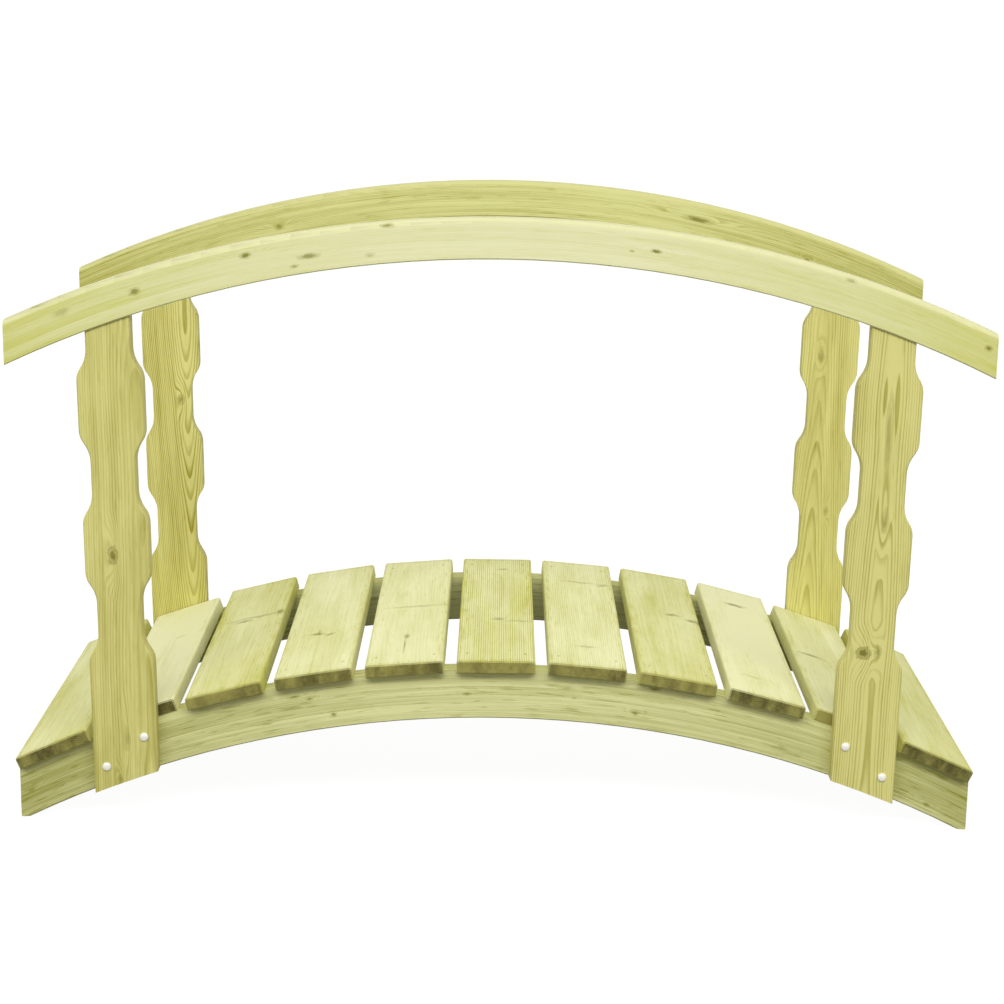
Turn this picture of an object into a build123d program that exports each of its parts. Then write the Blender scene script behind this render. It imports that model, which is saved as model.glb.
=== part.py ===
"""Arched garden footbridge of treated pine.

Two bent-laminated stringers carry a deck of cross boards. Scalloped board posts, bolted flat on the
stringers, carry an arched handrail on each side. Millimetres, +Z up, +X along the bridge, and the
origin on the ground under the middle of the bridge.
"""
import os
from math import asin, atan, ceil, cos, degrees, radians, sin, sqrt, tan

from build123d import *

os.makedirs("parts", exist_ok=True)

# Stringers: bent-laminated beams with vertical end cuts and a short flat foot at each end
stringer_length = 1712
stringer_depth = 90
stringer_thickness = 40
stringer_top_radius = 1960
stringer_spread = 672
stringer_edge_ease = 2.5
foot_length = 15

# Deck boards, laid tangent to the arch and spaced evenly over it
board_width = 140
board_thickness = 24
board_overhang = 20
board_edge_round = 5
board_end_ease = 2.5
least_board_gap = 16
deck_setback = 5

# Scalloped board posts, which lean outwards a little towards the handrail
post_inset = 196
post_lean = 13
post_thickness = 28
post_width = 114
waist_width = 78
post_foot_length = 220
waist_length = 55
swell_length = 85
wave_length = 254
hollow_share = 0.58
post_edge_ease = 2
post_clearance = 2

# Arched handrails, bent-laminated like the stringers
rail_end_reach = 190
rail_depth = 70
rail_thickness = 40
rail_bottom_radius = 1964
rail_rise = 738
rail_top_round = 9
rail_bottom_ease = 2
rail_seat_gap = 0.2

# Coach bolts with round heads, square necks and closed hexagon nuts, two through each post
bolt_diameter = 8
bolt_head_diameter = 16
bolt_head_height = 4
bolt_spacing = 68
bolt_top_margin = 21
bolt_bottom_margin = 39
bolt_hole_gap = 0.3
nut_width = 13
nut_height = 9

# One overrun serves all cuts
overrun = 10

# The stringers' two arcs share one centre, under the middle of the bridge
stringer_bottom_radius = stringer_top_radius - stringer_depth
stringer_reach = stringer_length / 2
foot_reach = stringer_reach - foot_length
arch_centre_z = -sqrt(stringer_bottom_radius**2 - foot_reach**2)
stringer_crown_z = arch_centre_z + stringer_top_radius
stringer_face_y = stringer_spread / 2

# The boards lie on flat seats, planed into the arch as wide as the boards are
seat_radius = sqrt(stringer_top_radius**2 - (board_width / 2) ** 2)
board_half_angle = degrees(atan(board_width / 2 / seat_radius))
least_gap_angle = degrees(least_board_gap / stringer_top_radius)
deck_angle = 2 * degrees(asin((stringer_reach - deck_setback) / stringer_top_radius))
board_count = int((deck_angle + least_gap_angle) // (2 * board_half_angle + least_gap_angle))
board_pitch = (deck_angle - 2 * board_half_angle) / (board_count - 1)

# The handrails' arcs share a centre too
rail_centre_z = stringer_crown_z + rail_rise - rail_bottom_radius

# Posts stand on the outer faces of the stringers, and the handrails are centred over them
post_reach = stringer_reach - post_inset
rail_reach = post_reach + rail_end_reach
post_face_y = stringer_face_y + post_thickness
post_base_z = arch_centre_z + sqrt(stringer_bottom_radius**2 - post_reach**2)
post_top_z = rail_centre_z + rail_bottom_radius
post_middle_z = arch_centre_z + sqrt((stringer_top_radius - stringer_depth / 2) ** 2 - post_reach**2)
rail_seat_z = rail_centre_z + sqrt(rail_bottom_radius**2 - post_reach**2)
post_lean_angle = atan(post_lean / (rail_seat_z - post_middle_z))
wave_start_z = post_base_z + post_foot_length
wave_count = ceil((post_top_z - wave_start_z) / wave_length)
curve_height = (wave_length - waist_length - swell_length) / 2
curve_depth = (post_width - waist_width) / 2

sides = (("front", -1), ("back", 1))
ends = (("left", -1), ("right", 1))


def arc_height(centre_z, radius, x):
    """Height of an arch's arc over a place along the bridge."""
    return centre_z + sqrt(radius**2 - x**2)


def upright_plane(y):
    """Plane that faces the front, with its origin on the ground at y, under the middle."""
    return Plane(origin=(0, y, 0), x_dir=(1, 0, 0), z_dir=(0, -1, 0))


def post_plane(end, y):
    """Plane of a post's outline, which leans outwards about the middle of the stringer."""
    foot_x = post_reach - post_middle_z * tan(post_lean_angle)
    across = (cos(post_lean_angle), 0, -end * sin(post_lean_angle))
    return Plane(origin=(end * foot_x, y, 0), x_dir=across, z_dir=(0, -1, 0))


def seat_plane(angle, y=0):
    """Plane of a board's seat: its x runs along the arch, its y across the bridge."""
    turn = radians(angle)
    origin = (seat_radius * sin(turn), y, arch_centre_z + seat_radius * cos(turn))
    return Plane(origin=origin, x_dir=(cos(turn), 0, -sin(turn)), z_dir=(sin(turn), 0, cos(turn)))


def bolt_places(end):
    """The two bolt axes of a post, as x and z: the upper one inwards, the lower one outwards."""
    inner_x = post_reach - bolt_spacing / 2
    outer_x = post_reach + bolt_spacing / 2
    inner_z = arc_height(arch_centre_z, stringer_top_radius - bolt_top_margin, inner_x)
    outer_z = arc_height(arch_centre_z, stringer_bottom_radius + bolt_bottom_margin, outer_x)
    return (("upper", end * inner_x, inner_z), ("lower", end * outer_x, outer_z))


board_angles = [board_pitch * (n - (board_count - 1) / 2) for n in range(board_count)]
all_bolts = [place for _, end in ends for place in bolt_places(end)]
bolt_hole_width = bolt_diameter + 2 * bolt_hole_gap

# Stringers
for side_name, side in sides:
    face_y = side * stringer_face_y
    low_y = min(face_y, face_y - side * stringer_thickness)
    with BuildPart() as stringer:
        with BuildSketch(upright_plane(low_y)):
            with BuildLine():
                end_z = arc_height(arch_centre_z, stringer_top_radius, stringer_reach)
                ThreePointArc((-stringer_reach, end_z), (0, stringer_crown_z), (stringer_reach, end_z))
                Polyline((stringer_reach, end_z), (stringer_reach, 0), (foot_reach, 0))
                ThreePointArc((foot_reach, 0), (0, stringer_crown_z - stringer_depth), (-foot_reach, 0))
                Polyline((-foot_reach, 0), (-stringer_reach, 0), (-stringer_reach, end_z))
            make_face()
        extrude(amount=-stringer_thickness)
        lower_edges = stringer.edges().filter_by(GeomType.CIRCLE).sort_by(SortBy.RADIUS)[:2]
        chamfer(lower_edges, stringer_edge_ease)
        for angle in board_angles:
            with BuildSketch(seat_plane(angle, low_y + stringer_thickness / 2)):
                Rectangle(board_width, stringer_thickness + overrun)
            extrude(amount=board_thickness, mode=Mode.SUBTRACT)
        with BuildSketch(upright_plane(low_y)):
            with Locations(*[(x, z) for _, x, z in all_bolts]):
                Rectangle(bolt_hole_width, bolt_hole_width)
        extrude(amount=-stringer_thickness, mode=Mode.SUBTRACT)
    stringer.part.label = f"{side_name}_stringer"
    export_step(stringer.part, f"parts/{side_name}_stringer.step")

# Deck boards: those beside a post end flush with the stringers, the others overhang
for number, angle in enumerate(board_angles, start=1):
    tilt = radians(abs(angle))
    inner_x = seat_radius * sin(tilt) - board_width / 2 * cos(tilt)
    outer_x = seat_radius * sin(tilt) + board_width / 2 * cos(tilt) + board_thickness * sin(tilt)
    post_room = post_width / 2 + post_clearance
    beside_post = inner_x < post_reach + post_room and outer_x > post_reach - post_room
    board_reach = stringer_face_y if beside_post else stringer_face_y + board_overhang
    seat = seat_plane(angle)
    with BuildPart() as board:
        section = Plane(
            origin=seat.origin + seat.z_dir * (board_thickness / 2) + seat.y_dir * board_reach,
            x_dir=seat.x_dir,
            z_dir=-seat.y_dir,
        )
        with BuildSketch(section) as outline:
            Rectangle(board_width, board_thickness)
            fillet(outline.vertices().sort_by(Axis.Y)[2:], board_edge_round)
        extrude(amount=2 * board_reach)
        chamfer(board.faces().filter_by(Axis.Y).edges(), board_end_ease)
    board.part.label = f"deck_board_{number:02d}"
    export_step(board.part, f"parts/deck_board_{number:02d}.step")

# Posts: a scalloped outline, cut off below by the stringer's lower arc and above by the handrail
for side_name, side in sides:
    low_y = min(side * stringer_face_y, side * post_face_y)
    for end_name, end in ends:
        with BuildPart() as post:
            with BuildSketch(post_plane(end, low_y)):
                with BuildLine():
                    swell_x = post_width / 2
                    waist_x = waist_width / 2
                    Line((0, 0), (swell_x, 0))
                    edge = Line((swell_x, 0), (swell_x, wave_start_z))
                    for wave in range(wave_count):
                        top_of_swell = edge @ 1
                        bend = top_of_swell + Vector(-curve_depth, curve_height) * (1 - hollow_share)
                        start_of_waist = top_of_swell + Vector(-curve_depth, curve_height)
                        shoulder = TangentArc(top_of_swell, bend, tangent=(0, 1))
                        TangentArc(bend, start_of_waist, tangent=shoulder % 1)
                        end_of_waist = start_of_waist + Vector(0, waist_length)
                        Line(start_of_waist, end_of_waist)
                        bend = end_of_waist + Vector(curve_depth, curve_height) * hollow_share
                        start_of_swell = end_of_waist + Vector(curve_depth, curve_height)
                        hollow = TangentArc(end_of_waist, bend, tangent=(0, 1))
                        TangentArc(bend, start_of_swell, tangent=hollow % 1)
                        edge = Line(start_of_swell, start_of_swell + Vector(0, swell_length))
                    Line(edge @ 1, (0, (edge @ 1).Y))
                    mirror(about=Plane.YZ)
                make_face()
            extrude(amount=-post_thickness)
            outer_face = post.faces().sort_by(Axis.Y)[0 if side < 0 else -1]
            chamfer(outer_face.edges(), post_edge_ease)
            with BuildSketch(upright_plane(low_y)):
                with Locations((0, rail_centre_z)):
                    Circle(rail_bottom_radius - rail_seat_gap)
            extrude(amount=-post_thickness, mode=Mode.INTERSECT)
            with BuildSketch(upright_plane(low_y)):
                with Locations((0, arch_centre_z)):
                    Circle(stringer_bottom_radius)
                with Locations(*[(x, z) for _, x, z in bolt_places(end)]):
                    Rectangle(bolt_hole_width, bolt_hole_width)
            extrude(amount=-post_thickness, mode=Mode.SUBTRACT)
        post.part.label = f"{side_name}_{end_name}_post"
        export_step(post.part, f"parts/{side_name}_{end_name}_post.step")

# Handrails: a rounded section turned about the arc's centre, then cut off upright at both ends
for side_name, side in sides:
    middle_y = side * (stringer_face_y + post_thickness / 2)
    start_angle = asin(rail_reach / rail_bottom_radius) + overrun / rail_bottom_radius
    start_plane = Plane(
        origin=(0, 0, rail_centre_z),
        x_dir=(0, 1, 0),
        z_dir=(cos(start_angle), 0, sin(start_angle)),
    )
    with BuildPart() as rail:
        with BuildSketch(start_plane) as section:
            with Locations((middle_y, rail_bottom_radius + rail_depth / 2)):
                Rectangle(rail_thickness, rail_depth)
            fillet(section.vertices().sort_by(Axis.Y)[2:], rail_top_round)
            chamfer(section.vertices().sort_by(Axis.Y)[:2], rail_bottom_ease)
        revolve(axis=Axis((0, 0, rail_centre_z), (0, 1, 0)), revolution_arc=2 * degrees(start_angle))
        split(bisect_by=Plane.YZ.offset(rail_reach), keep=Keep.BOTTOM)
        split(bisect_by=Plane.YZ.offset(-rail_reach), keep=Keep.TOP)
    rail.part.label = f"{side_name}_handrail"
    export_step(rail.part, f"parts/{side_name}_handrail.step")

# Bolts: the round head lies on the post, the square neck runs through to the stringer's inner face,
# and the nut there is one piece with the bolt
for side_name, side in sides:
    for end_name, end in ends:
        for level, x, z in bolt_places(end):
            place = f"{side_name}_{end_name}_{level}"
            neck_plane = Plane(origin=(x, side * post_face_y, z), x_dir=(1, 0, 0), z_dir=(0, -side, 0))
            nut_plane = neck_plane.offset(post_thickness + stringer_thickness)
            with BuildPart() as bolt:
                with BuildSketch(neck_plane):
                    Circle(bolt_head_diameter / 2)
                extrude(amount=-bolt_head_height)
                with BuildSketch(neck_plane):
                    Rectangle(bolt_diameter, bolt_diameter)
                extrude(amount=post_thickness + stringer_thickness)
                with BuildSketch(nut_plane):
                    RegularPolygon(nut_width / 2, side_count=6, major_radius=False)
                extrude(amount=nut_height)
            bolt.part.label = f"{place}_bolt"
            export_step(bolt.part, f"parts/{place}_bolt.step")
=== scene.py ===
"""Looks of the arched garden footbridge: pale treated pine on a plain white studio floor.

The wooden CAD pieces keep their shape and get procedural pine, laid out along each piece: year rings round a
pith, fibres, knots and darker end grain. The nails of the deck and smooth domed bolts are made here.
Metres, +Z up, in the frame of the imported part.
"""
from math import atan2, cos, pi, radians, sin, sqrt

import bmesh
import bpy
from mathutils import Matrix, Vector


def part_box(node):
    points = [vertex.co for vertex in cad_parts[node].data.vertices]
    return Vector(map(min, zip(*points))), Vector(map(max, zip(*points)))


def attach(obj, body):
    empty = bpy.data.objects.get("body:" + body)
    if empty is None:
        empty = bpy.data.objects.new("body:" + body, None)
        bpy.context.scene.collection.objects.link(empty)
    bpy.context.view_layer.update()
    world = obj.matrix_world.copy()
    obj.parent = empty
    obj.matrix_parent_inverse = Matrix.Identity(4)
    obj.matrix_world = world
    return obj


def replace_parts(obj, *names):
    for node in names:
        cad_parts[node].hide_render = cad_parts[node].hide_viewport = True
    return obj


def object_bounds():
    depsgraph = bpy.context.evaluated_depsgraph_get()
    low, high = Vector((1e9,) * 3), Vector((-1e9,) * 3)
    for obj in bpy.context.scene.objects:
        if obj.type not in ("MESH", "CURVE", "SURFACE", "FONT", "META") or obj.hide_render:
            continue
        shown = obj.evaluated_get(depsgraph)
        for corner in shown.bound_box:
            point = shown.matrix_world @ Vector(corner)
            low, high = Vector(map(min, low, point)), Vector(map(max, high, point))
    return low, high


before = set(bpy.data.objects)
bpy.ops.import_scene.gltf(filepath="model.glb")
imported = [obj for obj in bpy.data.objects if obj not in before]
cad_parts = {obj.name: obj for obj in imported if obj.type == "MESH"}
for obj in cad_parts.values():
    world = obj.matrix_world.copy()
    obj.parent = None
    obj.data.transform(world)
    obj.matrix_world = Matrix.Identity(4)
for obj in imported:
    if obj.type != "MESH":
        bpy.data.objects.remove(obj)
first_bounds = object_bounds()

# Names of the CAD pieces
BOARD_COUNT = 11
MIDDLE_BOARD = "deck_board_06"
board_names = [f"deck_board_{number:02d}" for number in range(1, BOARD_COUNT + 1)]
side_names = ("front", "back")
end_names = ("left", "right")

# Camera, as fitted to the photo
IMAGE_PIXELS = 1004
FOCAL_PIXELS = 2216.7
SENSOR_WIDTH_MM = 36
CAMERA_PLACE = (-0.0019, -4.1161, 1.4920)
CAMERA_DIP = radians(13.301)
CAMERA_TURN = radians(0.125)
CAMERA_ROLL = radians(0.849)

# Studio
FLOOR_SIZE = 400
FLOOR_GLOW = 0.95
FLOOR_BOUNCE = 0.13
SKY_LEVEL = 0.57
LAMP_LEVEL = 2.55
LAMP_HEIGHT = radians(40)
LAMP_DISTANCE = 12
LAMP_LENGTH = 18
LAMP_DEPTH = 3
WHITE = (1, 1, 1, 1)

# Bent beams: upper radii, depths, the layers they are glued up from, and about how long they are
STRINGER_TOP_RADIUS = 1.960
STRINGER_DEPTH = 0.090
STRINGER_LAYER = 0.015
RAIL_TOP_RADIUS = 2.034
RAIL_DEPTH = 0.070
RAIL_LAYER = 0.014
BEAM_LENGTH = 1.76

# Lean of the posts, away from the bridge's middle towards the handrail
POST_LEAN = radians(0.96)

# Nails, two at each end of a deck board
NAIL_HEAD_RADIUS = 0.0023
NAIL_HEAD_HEIGHT = 0.0006
NAIL_CROWN_RADIUS = NAIL_HEAD_RADIUS * 0.6
NAIL_CROWN_HEIGHT = NAIL_HEAD_HEIGHT * 0.85
NAIL_RIM_HEIGHT = NAIL_HEAD_HEIGHT * 0.3
NAIL_SINK = 0.002
NAIL_EDGE_MARGIN = 0.018
NAIL_LINE_Y = 0.310
NAIL_STEPS = 16

# Domed bolts with hexagon nuts
BOLT_HEAD_RADIUS = 0.008
BOLT_HEAD_LIP = 0.0008
BOLT_HEAD_HEIGHT = 0.0046
BOLT_RADIUS = 0.004
BOLT_END_EASE = 0.0007
BOLT_STEPS = 32
DOME_POINTS = 7
NUT_HEIGHT = 0.0065
NUT_RADIUS = 0.0075
NUT_SIDES = 6
NUT_EASE = 0.0007
NUT_EASE_STEPS = 2

# Metal of the nails and bolts
METAL_SHARE = 0.3
ZINC_ROUGHNESS = 0.4
NAIL_ROUGHNESS = 0.6

# Points closer than this are one, and edges sharper than this aren't shaded smooth
MERGE_DISTANCE = 1e-6
SHARP_ANGLE = radians(40)

# Pine: how densely each pattern lies across the wood, through it and along it, to the metre
DRIFT_SCALE = (7.0, 7.0, 1.3)
SWELL_SCALE = (1.0, 1.0, 4.0)
FIBRE_SCALE = (1100.0, 1100.0, 12.0)
STREAK_SCALE = (150.0, 150.0, 2.0)
TONE_SCALE = (14.0, 14.0, 3.0)
DASH_SCALE = (240.0, 240.0, 24.0)
WAVE_SCALE = (30.0, 30.0, 10.0)
END_PATCH_SCALE = (45.0, 25.0, 1.0)

# Middle value of a noise
NOISE_MIDDLE = 0.5

# Year rings: where in a year the dark late wood starts and ends, how strong it is, and how a knot shifts it
LATE_WOOD_START = (0.35, 0.88)
LATE_WOOD_END = (0.92, 1.0)
LATE_WOOD_LEAST = 0.4
LATE_WOOD_SPREAD = 0.6
YEARS_BENT = 4.0

# Knots: their uneven outline, dark heart and rim, and the grain that bends round them
KNOT_WOBBLE_SCALE = (1.5, 1.5, 40.0)
KNOT_WOBBLE = 1.5
HEART_END = (0.4, 1.0)
HEART_PATCHES = (0.3, 0.6)
HEART_LEAST = 0.7
HEART_SPREAD = 0.4
RIM_START = (0.7, 0.95)
RIM_END = (1.0, 1.35)
FLOW_WIDTH = 2.2
FLOW_LENGTH = 5.0
FLOW_END = (0.0, 1.2)

# Wood faces: fibres, flecks, darker edges and tips, glued layers, planer ribs, painted shade on rail tops
FIBRE_SHARE = 0.35
FLECK_RANGE = (0.56, 0.68)
EDGE_BAND = 0.014
EDGE_WANDER = 0.04
TIP_START = 0.020
TIP_END = 0.002
LAYER_JOINT = (0.43, 0.5)
LAYER_JOINT_SHARE = 0.8
LAYER_SEED_SPREAD = 40.0
LAYER_PITH_SPREAD = 0.1
RIB_PITCH = 0.0041
RIB_RANGE = (0.25, 0.55)
RIB_SHARE = 0.3
# Painted shade on a rail's rounded upper edge: how wide its band is and how much of its colour it takes
PAINTED_SHADE_BAND = 0.010
PAINTED_SHADE_SHARE = 0.85

# End grain: its tones, and how squarely a surface faces along the piece where it starts and is full
END_RING_SHARE = 0.3
END_PATCH_LOW = 0.33
END_PATCH_SHARE = 2.4
END_STREAK_SHARE = 0.7
BEAM_END_FACING = (0.6, 0.85)
BOARD_END_FACING = (0.5, 0.85)
POST_END_FACING = (0.55, 1.0)

# Relief and gloss of the wood
RING_HEIGHT = -0.4
FIBRE_HEIGHT = 0.5
RIB_HEIGHT = -0.8
BUMP_STRENGTH = 0.25
BUMP_DISTANCE = 0.001
WOOD_ROUGHNESS = 0.5
FIBRE_ROUGHNESS = 0.2
WOOD_GLOSS = 0.3

# Seeds of the patterns
STRINGER_SEED = 3.1
RAIL_SEED = 7.4
POST_SEED = 11.7
BOARD_SEED = 20.3
BOARD_SEED_STEP = 1.7

# How the year rings differ from board to board
BOARD_PITH_SWING = 0.02
BOARD_PITH_TURN = 2.1
BOARD_PITH_DEPTH = -0.07
BOARD_LEAN_SWING = 0.01
BOARD_LEAN_TURN = 1.3


def shade(red, green, blue):
    """A colour from its screen values, 0 to 255."""
    steps = [value / 255 for value in (red, green, blue)]
    return (*[s / 12.92 if s <= 0.04045 else ((s + 0.055) / 1.055) ** 2.4 for s in steps], 1)


class Graph:
    """Adds nodes to a node tree. A value is a number, a tuple or another node's output."""

    def __init__(self, tree):
        self.tree = tree

    def put(self, socket, value):
        if isinstance(value, bpy.types.NodeSocket):
            self.tree.links.new(value, socket)
        else:
            socket.default_value = value

    def add(self, kind, values=None, **settings):
        node = self.tree.nodes.new(kind)
        for name, setting in settings.items():
            setattr(node, name, setting)
        for key, value in (values or {}).items():
            self.put(node.inputs[key], value)
        return node

    def group(self, tree, values):
        return self.add("ShaderNodeGroup", dict(enumerate(values)), node_tree=tree).outputs

    def math(self, operation, *values):
        return self.add("ShaderNodeMath", dict(enumerate(values)), operation=operation).outputs[0]

    def vector(self, operation, first, second):
        return self.add("ShaderNodeVectorMath", {0: first, 1: second}, operation=operation).outputs[0]

    def split(self, vector):
        return self.add("ShaderNodeSeparateXYZ", {0: vector}).outputs

    def join(self, x, y, z):
        return self.add("ShaderNodeCombineXYZ", {0: x, 1: y, 2: z}).outputs[0]

    def mix(self, share, first, second):
        return self.add("ShaderNodeMix", {0: share, 6: first, 7: second}, data_type="RGBA").outputs[2]

    def chance(self, number):
        """A chance value, 0 to 1, for each number."""
        return self.add("ShaderNodeTexWhiteNoise", {"W": number}, noise_dimensions="1D").outputs[0]

    def noise(self, vector, scale, seed, detail=2.0, roughness=0.5):
        """A noise on a place: its value, 0 to 1, and its colour."""
        values = {"Vector": self.vector("MULTIPLY", vector, scale), "W": seed, "Scale": 1.0}
        values.update({"Detail": detail, "Roughness": roughness})
        return self.add("ShaderNodeTexNoise", values, noise_dimensions="4D").outputs

    def rise(self, value, low, high):
        """0 up to low, 1 from high on, and smooth between them."""
        values = {"Value": value, "From Min": low, "From Max": high}
        return self.add("ShaderNodeMapRange", values, interpolation_type="SMOOTHSTEP").outputs[0]

    def fall(self, value, low, high):
        """1 up to low, 0 from high on, and smooth between them."""
        return self.math("SUBTRACT", 1.0, self.rise(value, low, high))

    def swing(self, noise, amount):
        """How far a noise is off its middle, times an amount."""
        return self.math("MULTIPLY", self.math("SUBTRACT", noise, NOISE_MIDDLE), amount)

    def more(self, total, value, share):
        """A total with a share of a value added."""
        return self.math("ADD", total, self.math("MULTIPLY", value, share))

    def span(self, first, second):
        """Length of a line that goes this far in two square directions."""
        squares = [self.math("POWER", value, 2.0) for value in (first, second)]
        return self.math("SQRT", self.math("ADD", *squares))


def make_group(name, inputs, outputs):
    """A node group with these sockets, its graph, its inputs by name and its outputs by name."""
    tree = bpy.data.node_groups.new(name, "ShaderNodeTree")
    for socket, kind in inputs.items():
        tree.interface.new_socket(socket, in_out="INPUT", socket_type=f"NodeSocket{kind}")
    for socket in outputs:
        tree.interface.new_socket(socket, in_out="OUTPUT", socket_type="NodeSocketFloat")
    graph = Graph(tree)
    return tree, graph, graph.add("NodeGroupInput").outputs, graph.add("NodeGroupOutput").inputs


def make_knot_group():
    """One knot on top of those before it: how far the grain bends round it, its heart and its rim."""
    names = ("Wide", "Along", "Wide Centre", "Along Centre", "Half Width", "Half Length", "Strength",
             "Bend", "Heart", "Rim")
    tree, g, given, made = make_group("knot", dict.fromkeys(names, "Float"), ("Bend", "Heart", "Rim"))
    across = g.math("DIVIDE", g.math("SUBTRACT", given["Wide"], given["Wide Centre"]), given["Half Width"])
    along = g.math("DIVIDE", g.math("SUBTRACT", given["Along"], given["Along Centre"]), given["Half Length"])
    spot = g.join(across, along, given["Wide Centre"])
    wobble = g.noise(spot, KNOT_WOBBLE_SCALE, given["Along Centre"], detail=4.0, roughness=0.65)[0]
    distance = g.math("ADD", g.span(across, along), g.swing(wobble, KNOT_WOBBLE))
    heart = g.fall(distance, *HEART_END)
    rim = g.math("MULTIPLY", g.rise(distance, *RIM_START), g.fall(distance, *RIM_END))
    flow = g.span(g.math("DIVIDE", across, FLOW_WIDTH), g.math("DIVIDE", along, FLOW_LENGTH))
    bend = g.fall(flow, *FLOW_END)
    g.put(made["Bend"], g.math("MULTIPLY_ADD", bend, given["Strength"], given["Bend"]))
    g.put(made["Heart"], g.math("MAXIMUM", given["Heart"], g.math("MULTIPLY", heart, given["Strength"])))
    g.put(made["Rim"], g.math("MAXIMUM", given["Rim"], g.math("MULTIPLY", rim, given["Strength"])))
    return tree


def make_pine_group():
    """Year rings round a pith, fine fibres and broad tones, from a place given as wide, thick and along."""
    numbers = ("Lean", "Swell", "Spacing", "Wander", "Bend", "Seed")
    inputs = {"Place": "Vector", "Pith": "Vector", **dict.fromkeys(numbers, "Float")}
    tree, g, given, made = make_group("pine", inputs, ("Ring", "Fibre", "Streak", "Tone", "Dash"))
    place = given["Place"]
    seed = given["Seed"]
    drift_wide, drift_thick, _ = g.split(g.noise(place, DRIFT_SCALE, seed)["Color"])
    wide, thick, along = g.split(g.vector("SUBTRACT", place, given["Pith"]))
    wide = g.math("ADD", wide, g.swing(drift_wide, given["Wander"]))
    thick = g.math("ADD", thick, g.swing(drift_thick, given["Wander"]))
    radius = g.more(g.span(wide, thick), along, given["Lean"])
    swell = g.noise(g.join(0.0, 0.0, along), SWELL_SCALE, seed, detail=1.0)[0]
    radius = g.more(radius, swell, given["Swell"])
    years = g.more(g.math("DIVIDE", radius, given["Spacing"]), given["Bend"], YEARS_BENT)
    season = g.math("FRACT", years)
    late = g.math("MULTIPLY", g.rise(season, *LATE_WOOD_START), g.fall(season, *LATE_WOOD_END))
    chance = g.chance(g.math("ADD", g.math("FLOOR", years), seed))
    strength = g.math("MULTIPLY_ADD", chance, LATE_WOOD_SPREAD, LATE_WOOD_LEAST)
    g.put(made["Ring"], g.math("MULTIPLY", late, strength))
    g.put(made["Fibre"], g.noise(place, FIBRE_SCALE, seed, detail=3.0, roughness=0.6)[0])
    g.put(made["Streak"], g.noise(place, STREAK_SCALE, seed, detail=3.0, roughness=0.6)[0])
    g.put(made["Tone"], g.noise(place, TONE_SCALE, seed, detail=5.0, roughness=0.62)[0])
    g.put(made["Dash"], g.noise(place, DASH_SCALE, seed, detail=3.0)[0])
    return tree


knot_group = make_knot_group()
pine_group = make_pine_group()


def new_material(name):
    """A material, its graph and the inputs of its shader."""
    material = bpy.data.materials.new(name)
    material.use_nodes = True
    tree = material.node_tree
    return material, Graph(tree), tree.nodes["Principled BSDF"].inputs


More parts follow.
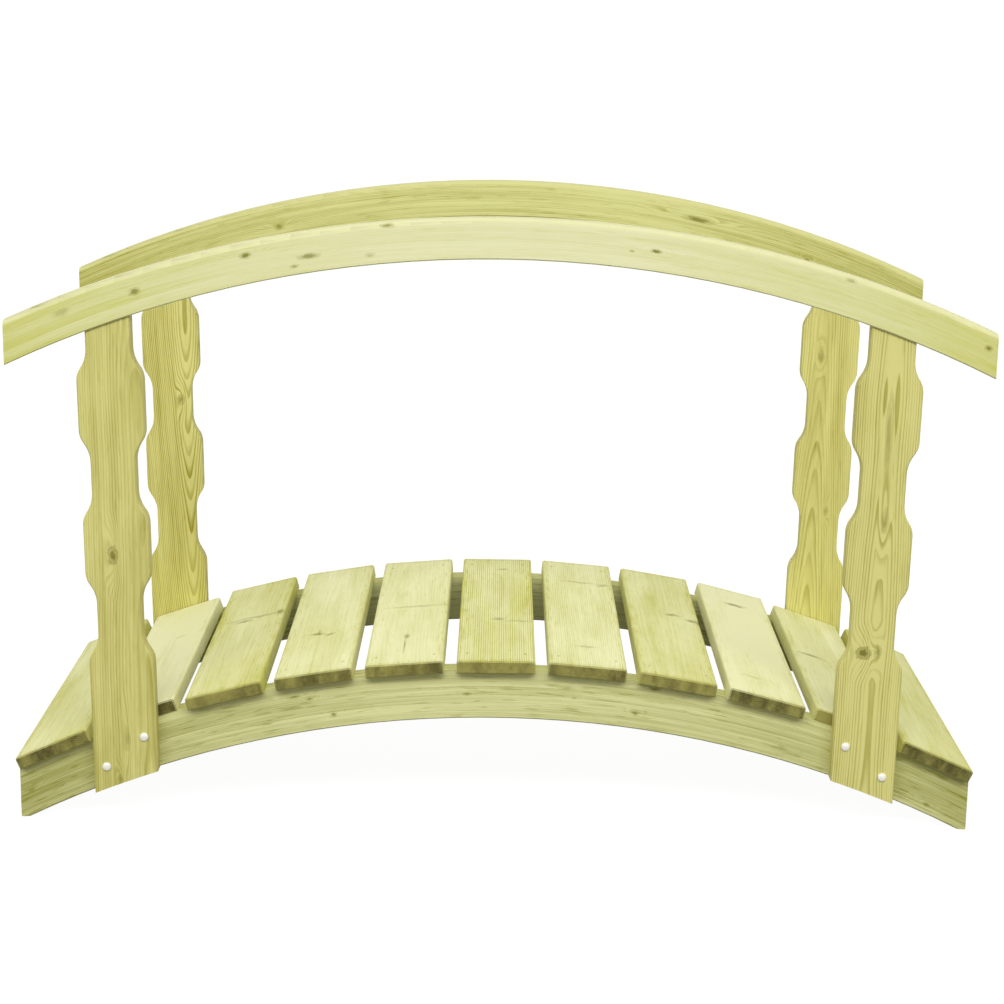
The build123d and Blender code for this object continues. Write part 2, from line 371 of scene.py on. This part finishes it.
def make_wood(name, seed, colours, lay, knots, pith, spacing, wander, base, rings, streaks, blotches, flecks,
              lean=0.0, swell=0.0, width=0.0, length=0.0, far_tone=0.0, edge_tone=0.0, end_tone=0.0,
              painted_shade_upper_edge=None, rim_share=0.3, waver=0.0, layer=0.0, layer_tone=0.0, ribs=0.0):
    """A pine material. lay(graph) gives the place in the piece and how far the surface is end grain.

    colours: pale, dark, end pale, end dark and knot. knots: wide, along, half width, half length, strength.
    pith, spacing: middle and distance of the year rings. wander, lean, swell: how they stray in the piece.
    base, rings, streaks, blotches, flecks: shares of dark wood. far_tone: more of it towards the far ends.
    edge_tone, end_tone: more of it at the edges, and on the end grain. width, length: those of the piece.
    painted_shade_upper_edge: painted shade on a rail's upper edge, if any. rim_share: strength of knot rims.
    waver: how far knots are drawn out unevenly. layer: thickness of glued layers, if any. layer_tone: how far
    they differ. ribs: strength of planer ribs along the piece.
    """
    material, g, shader = new_material(name)
    pale, dark, end_pale, end_dark, knot_colour = colours
    place, end_share = lay(g)
    wide, _, along = g.split(place)

    waves = g.noise(place, WAVE_SCALE, seed, detail=3.0, roughness=0.6)[0]
    wavy = g.math("MULTIPLY_ADD", g.math("SUBTRACT", waves, NOISE_MIDDLE), waver, along)
    bend = heart = rim = 0.0
    for knot in knots:
        bend, heart, rim = g.group(knot_group, (wide, wavy, *knot, bend, heart, rim))

    pith_wide, pith_thick = pith
    grain_seed = seed
    if layer:
        layers = g.math("DIVIDE", wide, layer)
        chance = g.chance(g.math("ADD", g.math("FLOOR", layers), seed))
        grain_seed = g.math("MULTIPLY_ADD", chance, LAYER_SEED_SPREAD, seed)
        pith_wide = g.math("MULTIPLY_ADD", chance, LAYER_PITH_SPREAD, pith_wide)
        off_middle = g.math("ABSOLUTE", g.math("SUBTRACT", g.math("FRACT", layers), 0.5))
        joint = g.rise(off_middle, *LAYER_JOINT)
    pith_place = g.join(pith_wide, pith_thick, 0.0)
    pine_values = (place, pith_place, lean, swell, spacing, wander, bend, grain_seed)
    ring, fibre, streak, tone, dash = g.group(pine_group, pine_values)

    grain = g.math("MULTIPLY_ADD", ring, rings, base)
    for pattern, share in ((streak, streaks), (tone, blotches), (fibre, FIBRE_SHARE)):
        grain = g.math("ADD", grain, g.swing(pattern, share))
    grain = g.more(grain, g.rise(dash, *FLECK_RANGE), flecks)
    if edge_tone:
        ragged = g.swing(dash, EDGE_WANDER)
        half_wide = g.math("ADD", g.math("ABSOLUTE", wide), ragged)
        half_along = g.math("ADD", g.math("ABSOLUTE", along), ragged)
        edge = g.rise(half_wide, width / 2 - EDGE_BAND, width / 2)
        tip = g.rise(half_along, length / 2 - TIP_START, length / 2 - TIP_END)
        grain = g.more(grain, g.math("MAXIMUM", edge, tip), edge_tone)
    if far_tone:
        reach = g.math("POWER", g.math("DIVIDE", along, length / 2), 2.0)
        grain = g.more(grain, reach, far_tone)
    if layer:
        grain = g.math("ADD", grain, g.swing(chance, layer_tone))
        grain = g.more(grain, joint, layer_tone * LAYER_JOINT_SHARE)
    height = g.more(g.math("MULTIPLY", ring, RING_HEIGHT), fibre, FIBRE_HEIGHT)
    if ribs:
        rib = g.math("SINE", g.math("MULTIPLY", wide, 2 * pi / RIB_PITCH))
        rib = g.math("MULTIPLY", g.math("MULTIPLY", rib, g.rise(streak, *RIB_RANGE)), ribs)
        grain = g.more(grain, rib, RIB_SHARE)
        height = g.more(height, rib, RIB_HEIGHT)

    colour = g.mix(grain, pale, dark)
    if painted_shade_upper_edge:
        # Painted shade: the rail's upper edge is darkened to tone down the lamp's highlight on its rounded
        # top
        upper = g.rise(wide, width / 2 - PAINTED_SHADE_BAND, width / 2 - PAINTED_SHADE_BAND / 2)
        colour = g.mix(g.math("MULTIPLY", upper, PAINTED_SHADE_SHARE), colour, painted_shade_upper_edge)
    if knots:
        uneven = g.math("MULTIPLY_ADD", g.rise(waves, *HEART_PATCHES), HEART_SPREAD, HEART_LEAST)
        colour = g.mix(g.math("MULTIPLY", rim, rim_share), colour, knot_colour)
        colour = g.mix(g.math("MULTIPLY", heart, uneven), colour, knot_colour)
    patch = g.noise(place, END_PATCH_SCALE, seed, detail=3.0, roughness=0.6)[0]
    patches = g.math("MULTIPLY", g.math("SUBTRACT", patch, END_PATCH_LOW), END_PATCH_SHARE)
    mottle = g.math("MULTIPLY_ADD", ring, END_RING_SHARE, patches)
    streaky = g.math("MULTIPLY_ADD", g.math("SUBTRACT", streak, NOISE_MIDDLE), END_STREAK_SHARE, end_tone)
    end_colour = g.mix(g.math("ADD", mottle, streaky), end_pale, end_dark)
    colour = g.mix(end_share, colour, end_colour)

    bump = g.add("ShaderNodeBump", {"Height": height, "Strength": BUMP_STRENGTH, "Distance": BUMP_DISTANCE})
    g.put(shader["Base Color"], colour)
    g.put(shader["Roughness"], g.math("MULTIPLY_ADD", fibre, FIBRE_ROUGHNESS, WOOD_ROUGHNESS))
    g.put(shader["Specular IOR Level"], WOOD_GLOSS)
    g.put(shader["Normal"], bump.outputs[0])
    return material


def along_arc(centre_z, middle_radius, middle_y):
    """Lay of a bent beam: out from its middle arc, across it, along it. Its upright ends are end grain."""
    def lay(g):
        coordinates = g.add("ShaderNodeTexCoord").outputs
        x, y, z = g.split(coordinates["Object"])
        height = g.math("SUBTRACT", z, centre_z)
        outwards = g.math("SUBTRACT", g.span(x, height), middle_radius)
        arc = g.math("MULTIPLY", g.math("ARCTAN2", x, height), middle_radius)
        facing = g.math("ABSOLUTE", g.split(coordinates["Normal"])[0])
        return g.join(outwards, g.math("SUBTRACT", y, middle_y), arc), g.rise(facing, *BEAM_END_FACING)
    return lay


def turned_place(g, centre, turn):
    """The place in a piece turned about Y, and the way its surface faces in the frame, as x, y and z."""
    coordinates = g.add("ShaderNodeTexCoord").outputs
    values = {"Vector": coordinates["Object"], "Location": centre, "Rotation": (0, turn, 0)}
    mapping = g.add("ShaderNodeMapping", values, vector_type="TEXTURE")
    return g.split(mapping.outputs[0]), g.split(coordinates["Normal"])


def along_board(centre, tilt):
    """Lay of a deck board: across it along the arch, up through it, and along it over the bridge."""
    def lay(g):
        (x, y, z), normal = turned_place(g, centre, tilt)
        return g.join(x, z, y), g.rise(g.math("ABSOLUTE", normal[1]), *BOARD_END_FACING)
    return lay


def along_post(centre, lean):
    """Lay of a leaning post: across it, through it and up it. Its scallops are partly end grain."""
    def lay(g):
        (x, y, z), normal = turned_place(g, centre, lean)
        return g.join(x, y, z), g.rise(g.math("ABSOLUTE", normal[2]), *POST_END_FACING)
    return lay


def dress(name, material):
    """Gives a CAD node this material alone."""
    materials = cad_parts[name].data.materials
    materials.clear()
    materials.append(material)


# Colours: pale wood, dark wood, pale end grain, dark end grain and knots
BEAM_ENDS = (shade(196, 192, 112), shade(136, 130, 58))
BEAM_KNOT = shade(144, 140, 54)
STRINGER_COLOURS = (shade(236, 236, 170), shade(144, 142, 40), *BEAM_ENDS, BEAM_KNOT)
RAIL_COLOURS = {
    "front": (shade(245, 244, 194), shade(200, 200, 50), *BEAM_ENDS, BEAM_KNOT),
    "back": (shade(230, 229, 156), shade(164, 160, 40), *BEAM_ENDS, BEAM_KNOT),
}
# Painted shade on the rails' rounded upper edges, to tone down the lamp's highlight there
RAIL_PAINTED_SHADE_EDGES = {"front": shade(224, 222, 170), "back": shade(214, 212, 142)}
POST_COLOURS = (shade(230, 224, 141), shade(158, 148, 36), shade(192, 184, 92), shade(142, 132, 48),
                shade(128, 122, 44))
BOARD_COLOURS = (shade(247, 246, 191), shade(188, 186, 24), shade(162, 156, 82), shade(82, 76, 30),
                 shade(132, 124, 30))
ZINC_COLOUR = shade(243, 241, 228)
NAIL_COLOUR = shade(162, 154, 88)

# Knots and cracks, where the photo has them: wide, along, half width, half length and strength
RAIL_KNOTS = {
    "front": ((0.001, -0.634, 0.006, 0.010, 1.0), (0.009, -0.765, 0.006, 0.016, 0.4),
              (0.013, -0.435, 0.005, 0.010, 0.9), (-0.007, -0.329, 0.005, 0.019, 0.8),
              (-0.020, -0.357, 0.003, 0.008, 0.6), (0.029, -0.192, 0.0035, 0.011, 0.9),
              (-0.018, -0.226, 0.004, 0.009, 0.4), (0.0, 0.262, 0.0035, 0.009, 1.0),
              (-0.005, 0.221, 0.002, 0.005, 0.6), (0.027, 0.594, 0.004, 0.010, 0.5),
              (0.007, 0.857, 0.005, 0.007, 0.9)),
    "back": ((-0.012, -0.453, 0.006, 0.010, 0.8), (-0.017, -0.678, 0.003, 0.006, 0.7),
             (-0.015, 0.628, 0.004, 0.006, 0.8), (0.003, 0.395, 0.006, 0.030, 0.9)),
}
STRINGER_KNOTS = {
    "front": ((0.0, -0.051, 0.003, 0.007, 0.7), (0.023, -0.359, 0.003, 0.012, 0.8),
              (0.015, -0.332, 0.003, 0.006, 0.8), (-0.02, -0.294, 0.004, 0.006, 0.8),
              (0.017, 0.125, 0.003, 0.014, 0.6), (0.0, 0.141, 0.002, 0.005, 0.6),
              (0.035, 0.281, 0.004, 0.010, 0.8), (-0.015, 0.253, 0.004, 0.007, 0.8),
              (-0.028, 0.819, 0.004, 0.008, 0.8), (-0.017, -0.419, 0.003, 0.016, 0.5),
              (-0.002, -0.866, 0.004, 0.008, 0.6), (0.030, 0.820, 0.004, 0.012, 0.6)),
    "back": ((0.01, -0.41, 0.004, 0.009, 0.7), (-0.02, 0.12, 0.003, 0.008, 0.7),
             (0.02, 0.52, 0.004, 0.008, 0.7)),
}
POST_KNOTS = {
    "front_left": ((-0.008, 0.010, 0.008, 0.015, 0.9), (-0.012, -0.405, 0.005, 0.008, 0.6),
                   (0.004, -0.330, 0.004, 0.020, 0.35)),
    "front_right": ((-0.014, -0.150, 0.012, 0.011, 1.0), (0.011, -0.148, 0.006, 0.011, 0.5),
                    (0.007, 0.091, 0.006, 0.020, 0.4), (0.003, 0.253, 0.006, 0.055, 0.4)),
    "back_left": ((0.018, 0.155, 0.006, 0.010, 0.6),),
    "back_right": ((-0.018, 0.262, 0.006, 0.010, 0.5), (0.012, -0.06, 0.004, 0.008, 0.5)),
}
BOARD_KNOTS = {
    2: ((0.02, 0.10, 0.012, 0.005, 0.3),),
    3: ((-0.011, 0.081, 0.016, 0.008, 0.8), (0.014, 0.098, 0.06, 0.008, 0.45),
        (0.060, 0.098, 0.008, 0.018, 0.8)),
    4: ((-0.011, -0.110, 0.013, 0.008, 0.9), (0.014, -0.122, 0.009, 0.007, 0.7),
        (-0.008, -0.10, 0.0025, 0.02, 0.6)),
    5: ((0.010, 0.010, 0.06, 0.006, 0.35), (-0.002, -0.189, 0.005, 0.016, 0.9),
        (-0.004, -0.24, 0.002, 0.05, 0.7)),
    6: ((0.003, -0.086, 0.012, 0.009, 0.5), (0.012, 0.274, 0.012, 0.009, 0.4),
        (0.04, -0.10, 0.03, 0.005, 0.3)),
    7: ((0.0, 0.206, 0.04, 0.006, 0.35), (0.050, 0.195, 0.014, 0.008, 0.5),
        (0.0, -0.238, 0.024, 0.005, 0.4)),
    8: ((0.018, 0.058, 0.013, 0.009, 0.7), (0.054, 0.040, 0.014, 0.010, 0.6),
        (0.068, 0.03, 0.005, 0.02, 0.6)),
    9: ((-0.001, 0.241, 0.022, 0.009, 0.75), (-0.019, -0.249, 0.02, 0.005, 0.3)),
    10: ((-0.03, 0.020, 0.026, 0.007, 0.7),),
}

# Grain of each kind of piece, as make_wood takes it
BEAM_GRAIN = dict(pith=(-0.12, -0.05), spacing=0.003, wander=0.02, length=BEAM_LENGTH)
STRINGER_GRAIN = dict(base=0.11, rings=0.2, streaks=1.1, blotches=1.1, flecks=0.3, far_tone=0.42,
                      layer_tone=0.2)
RAIL_GRAIN = {
    "front": dict(base=0.05, rings=0.13, streaks=0.5, blotches=0.65, flecks=0.15, far_tone=0.5,
                  layer_tone=0.1),
    "back": dict(base=0.06, rings=0.4, streaks=1.4, blotches=0.9, flecks=0.25, far_tone=0.4,
                 layer_tone=0.1),
}
POST_GRAIN = dict(blotches=1.3, flecks=0.15, rim_share=0.6)
POST_RINGS = {
    "front_left": dict(pith=(0.05, -0.06), lean=0.02, swell=0.012, spacing=0.0040, wander=0.03, base=0.16,
                       rings=0.42, streaks=1.1),
    "front_right": dict(pith=(0.004, -0.036), lean=0.008, swell=0.012, spacing=0.0038, wander=0.008, base=0.0,
                        rings=0.7, streaks=0.5),
    "back_left": dict(pith=(0.030, 0.004), lean=-0.06, swell=0.02, spacing=0.0036, wander=0.010, base=0.18,
                      rings=0.8, streaks=0.6),
    "back_right": dict(pith=(-0.016, 0.008), lean=0.05, swell=0.02, spacing=0.0042, wander=0.014, base=0.06,
                       rings=0.5, streaks=0.7),
}
BOARD_GRAIN = dict(spacing=0.0035, wander=0.02, rings=0.12, streaks=0.4, blotches=1.3, flecks=0.15,
                   edge_tone=0.22, waver=0.03)
# Board base tones, at random; boards 2, 9 and 10 are paler, painted light against the posts' shade
BOARD_TONES_AND_PAINTED_LIGHT = (0.36, -0.1, 0.44, 0.2, 0.16, 0.38, 0.22, 0.38, -0.04, 0.18, 0.44)
BOARD_END_TONES = (0.21, 0.28, 0.0, 0.05, 0.0, -0.38, 0.0, -0.16, 0.2, -0.42, 0.28)
BOARD_RIBS = {6: 1.0, 7: 0.4}


def middle_of(name):
    """Middle of a node's box."""
    low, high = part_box(name)
    return (low + high) / 2


# Places worked out from the frame
middle_low, middle_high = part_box(MIDDLE_BOARD)
board_width = middle_high.x - middle_low.x
board_length = middle_high.y - middle_low.y
board_thickness = middle_high.z - middle_low.z
seat_radius = sqrt(STRINGER_TOP_RADIUS**2 - (board_width / 2) ** 2)
arch_centre_z = middle_low.z - seat_radius
rail_centre_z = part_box("front_handrail")[1].z - RAIL_TOP_RADIUS
stringer_middle_radius = STRINGER_TOP_RADIUS - STRINGER_DEPTH / 2
rail_middle_radius = RAIL_TOP_RADIUS - RAIL_DEPTH / 2

# Wood of the stringers, handrails and posts
for index, side in enumerate(side_names):
    stringer = f"{side}_stringer"
    lay = along_arc(arch_centre_z, stringer_middle_radius, middle_of(stringer).y)
    dress(stringer, make_wood(
        f"{stringer}_pine", STRINGER_SEED + index, STRINGER_COLOURS, lay, STRINGER_KNOTS[side],
        layer=STRINGER_LAYER, **BEAM_GRAIN, **STRINGER_GRAIN))
    rail = f"{side}_handrail"
    lay = along_arc(rail_centre_z, rail_middle_radius, middle_of(rail).y)
    dress(rail, make_wood(
        f"{rail}_pine", RAIL_SEED + index, RAIL_COLOURS[side], lay, RAIL_KNOTS[side], width=RAIL_DEPTH,
        painted_shade_upper_edge=RAIL_PAINTED_SHADE_EDGES[side], layer=RAIL_LAYER, **BEAM_GRAIN, **RAIL_GRAIN[side]))
    for turn, end in enumerate(end_names):
        corner = f"{side}_{end}"
        post = f"{corner}_post"
        lay = along_post(middle_of(post), POST_LEAN if end == "right" else -POST_LEAN)
        dress(post, make_wood(
            f"{post}_pine", POST_SEED + 2 * index + turn, POST_COLOURS, lay, POST_KNOTS[corner],
            **POST_GRAIN, **POST_RINGS[corner]))

# Wood of the deck
board_lays = {}
for number, board in enumerate(board_names, start=1):
    middle = middle_of(board)
    tilt = atan2(middle.x, middle.z - arch_centre_z)
    board_lays[board] = Matrix.Translation(middle) @ Matrix.Rotation(tilt, 4, "Y")
    pith = (BOARD_PITH_SWING * sin(BOARD_PITH_TURN * number), BOARD_PITH_DEPTH)
    lean = BOARD_LEAN_SWING * cos(BOARD_LEAN_TURN * number)
    dress(board, make_wood(
        f"{board}_pine", BOARD_SEED + BOARD_SEED_STEP * number, BOARD_COLOURS, along_board(middle, tilt),
        BOARD_KNOTS.get(number, ()), pith=pith, lean=lean, width=board_width, length=board_length,
        base=BOARD_TONES_AND_PAINTED_LIGHT[number - 1], end_tone=BOARD_END_TONES[number - 1], ribs=BOARD_RIBS.get(number, 0.0),
        **BOARD_GRAIN))


def make_metal(name, colour, roughness):
    """A dull coated metal."""
    material, g, shader = new_material(name)
    g.put(shader["Base Color"], colour)
    g.put(shader["Metallic"], METAL_SHARE)
    g.put(shader["Roughness"], roughness)
    return material


def add_object(name, data):
    """A new object in the scene."""
    made = bpy.data.objects.new(name, data)
    bpy.context.scene.collection.objects.link(made)
    return made


def make_mesh(shape, name):
    """Makes a mesh of a bmesh, which is freed."""
    mesh = bpy.data.meshes.new(name)
    shape.to_mesh(mesh)
    shape.free()
    return mesh


def finish_piece(shape, name, material):
    """Makes an object of a bmesh, riding on the bridge, with smooth shading."""
    bmesh.ops.recalc_face_normals(shape, faces=shape.faces)
    mesh = make_mesh(shape, name)
    mesh.materials.append(material)
    mesh.shade_smooth()
    mesh.set_sharp_from_angle(angle=SHARP_ANGLE)
    piece = add_object(name, mesh)
    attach(piece, "root")
    return piece


def spun(shape, profile, steps):
    """Adds a solid of revolution about Z to a bmesh and returns its vertices."""
    start = [shape.verts.new((x, 0, z)) for x, z in profile]
    edges = [shape.edges.new(pair) for pair in zip(start, start[1:])]
    before = set(shape.verts) - set(start)
    bmesh.ops.spin(shape, geom=start + edges, cent=(0, 0, 0), axis=(0, 0, 1), angle=2 * pi, steps=steps,
                   use_merge=True)
    bmesh.ops.remove_doubles(shape, verts=shape.verts, dist=MERGE_DISTANCE)
    return [vertex for vertex in shape.verts if vertex not in before]


zinc = make_metal("zinc", ZINC_COLOUR, ZINC_ROUGHNESS)
nail_steel = make_metal("nail_steel", NAIL_COLOUR, NAIL_ROUGHNESS)

# Nails: low domes a little over the board, with a short shank sunk into it
nail_profile = [
    (0, NAIL_HEAD_HEIGHT),
    (NAIL_CROWN_RADIUS, NAIL_CROWN_HEIGHT),
    (NAIL_HEAD_RADIUS, NAIL_RIM_HEIGHT),
    (NAIL_HEAD_RADIUS, -NAIL_SINK),
    (0, -NAIL_SINK),
]
nail_line_x = board_width / 2 - NAIL_EDGE_MARGIN
for board in board_names:
    shape = bmesh.new()
    for across in (-1, 1):
        for along in (-1, 1):
            verts = spun(shape, nail_profile, NAIL_STEPS)
            spot = Vector((across * nail_line_x, along * NAIL_LINE_Y, board_thickness / 2))
            bmesh.ops.transform(shape, matrix=board_lays[board] @ Matrix.Translation(spot), verts=verts)
    finish_piece(shape, f"{board}_nails", nail_steel)


def bolt_shape(grip):
    """A bolt along Z: its domed head above 0, its shank down through this grip, and the nut at its end."""
    bolt_end = -(grip + NUT_HEIGHT + BOLT_RADIUS)
    turns = [pi / 2 * point / DOME_POINTS for point in range(DOME_POINTS + 1)]
    dome_height = BOLT_HEAD_HEIGHT - BOLT_HEAD_LIP
    dome = [(BOLT_HEAD_RADIUS * sin(turn), BOLT_HEAD_LIP + dome_height * cos(turn)) for turn in turns]
    shank = [
        (BOLT_HEAD_RADIUS, 0),
        (BOLT_RADIUS, 0),
        (BOLT_RADIUS, bolt_end + BOLT_END_EASE),
        (BOLT_RADIUS - BOLT_END_EASE, bolt_end),
        (0, bolt_end),
    ]
    shape = bmesh.new()
    spun(shape, dome + shank, BOLT_STEPS)
    nut_place = Matrix.Translation((0, 0, -grip - NUT_HEIGHT / 2))
    nut = bmesh.ops.create_cone(shape, cap_ends=True, segments=NUT_SIDES, radius1=NUT_RADIUS,
                                radius2=NUT_RADIUS, depth=NUT_HEIGHT, matrix=nut_place)
    nut_verts = set(nut["verts"])
    nut_edges = [edge for edge in shape.edges if edge.verts[0] in nut_verts]
    bmesh.ops.bevel(shape, geom=nut_edges, offset=NUT_EASE, affect="EDGES", segments=NUT_EASE_STEPS,
                    profile=0.5, material=-1)
    return shape


# Bolts: a domed head on the post, and a nut and the bolt's eased end behind the stringer
for side, outward in zip(side_names, (-1, 1)):
    stringer_low, stringer_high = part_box(f"{side}_stringer")
    for end in end_names:
        post_low, post_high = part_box(f"{side}_{end}_post")
        grip = post_high.y - post_low.y + stringer_high.y - stringer_low.y
        face_y = post_high.y if outward > 0 else post_low.y
        for level in ("upper", "lower"):
            bolt = f"{side}_{end}_{level}_bolt"
            middle = middle_of(bolt)
            place = Matrix.Translation((middle.x, face_y, middle.z))
            turned = place @ Matrix.Rotation(-outward * pi / 2, 4, "X")
            shape = bolt_shape(grip)
            bmesh.ops.transform(shape, matrix=turned, verts=shape.verts)
            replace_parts(finish_piece(shape, f"{bolt}_domed", zinc), bolt)


def seen_share(g):
    """1 where the camera sees a surface, directly or in a reflection or through glass, and 0 elsewhere."""
    path = g.add("ShaderNodeLightPath").outputs
    return g.math("MAXIMUM", g.math("MAXIMUM", path["Is Camera Ray"], path["Is Glossy Ray"]),
                  path["Is Transmission Ray"])


# Floor: white to the camera, with the bridge's soft shadow
shape = bmesh.new()
bmesh.ops.create_grid(shape, x_segments=1, y_segments=1, size=FLOOR_SIZE / 2)
floor_mesh = make_mesh(shape, "floor")
floor = add_object("floor", floor_mesh)
floor_white, floor_graph, floor_shader = new_material("floor_white")
floor_graph.put(floor_shader["Base Color"], (FLOOR_BOUNCE, FLOOR_BOUNCE, FLOOR_BOUNCE, 1))
floor_graph.put(floor_shader["Roughness"], 1.0)
floor_graph.put(floor_shader["Specular IOR Level"], 0.0)
floor_graph.put(floor_shader["Emission Color"], WHITE)
floor_glow = floor_graph.math("MULTIPLY", seen_share(floor_graph), FLOOR_GLOW)
floor_graph.put(floor_shader["Emission Strength"], floor_glow)
floor_mesh.materials.append(floor_white)

# Light: an even white sky and a long soft lamp above the front
world = bpy.data.worlds.new("studio")
bpy.context.scene.world = world
world.use_nodes = True
sky_graph = Graph(world.node_tree)
background = world.node_tree.nodes["Background"].inputs
sky_graph.put(background["Color"], WHITE)
sky_graph.put(background["Strength"], sky_graph.math("MAXIMUM", seen_share(sky_graph), SKY_LEVEL))
lamp = add_object("lamp", bpy.data.lights.new("lamp", "AREA"))
lamp.data.shape = "RECTANGLE"
lamp.data.size = LAMP_LENGTH
lamp.data.size_y = LAMP_DEPTH
lamp.data.energy = LAMP_LEVEL * pi * LAMP_DISTANCE**2
bridge_middle = (first_bounds[0] + first_bounds[1]) / 2
lamp.matrix_world = (Matrix.Translation(bridge_middle) @ Matrix.Rotation(pi / 2 - LAMP_HEIGHT, 4, "X")
                     @ Matrix.Translation((0, 0, LAMP_DISTANCE)))

# Camera
camera = add_object("camera", bpy.data.cameras.new("camera"))
camera.data.sensor_width = SENSOR_WIDTH_MM
camera.data.lens = SENSOR_WIDTH_MM * FOCAL_PIXELS / IMAGE_PIXELS
aim = Matrix.Rotation(-CAMERA_TURN, 4, "Z") @ Matrix.Rotation(pi / 2 - CAMERA_DIP, 4, "X")
camera.matrix_world = Matrix.Translation(CAMERA_PLACE) @ aim @ Matrix.Rotation(CAMERA_ROLL, 4, "Z")
bpy.context.scene.camera = camera
bpy.context.scene.view_settings.view_transform = "Standard"
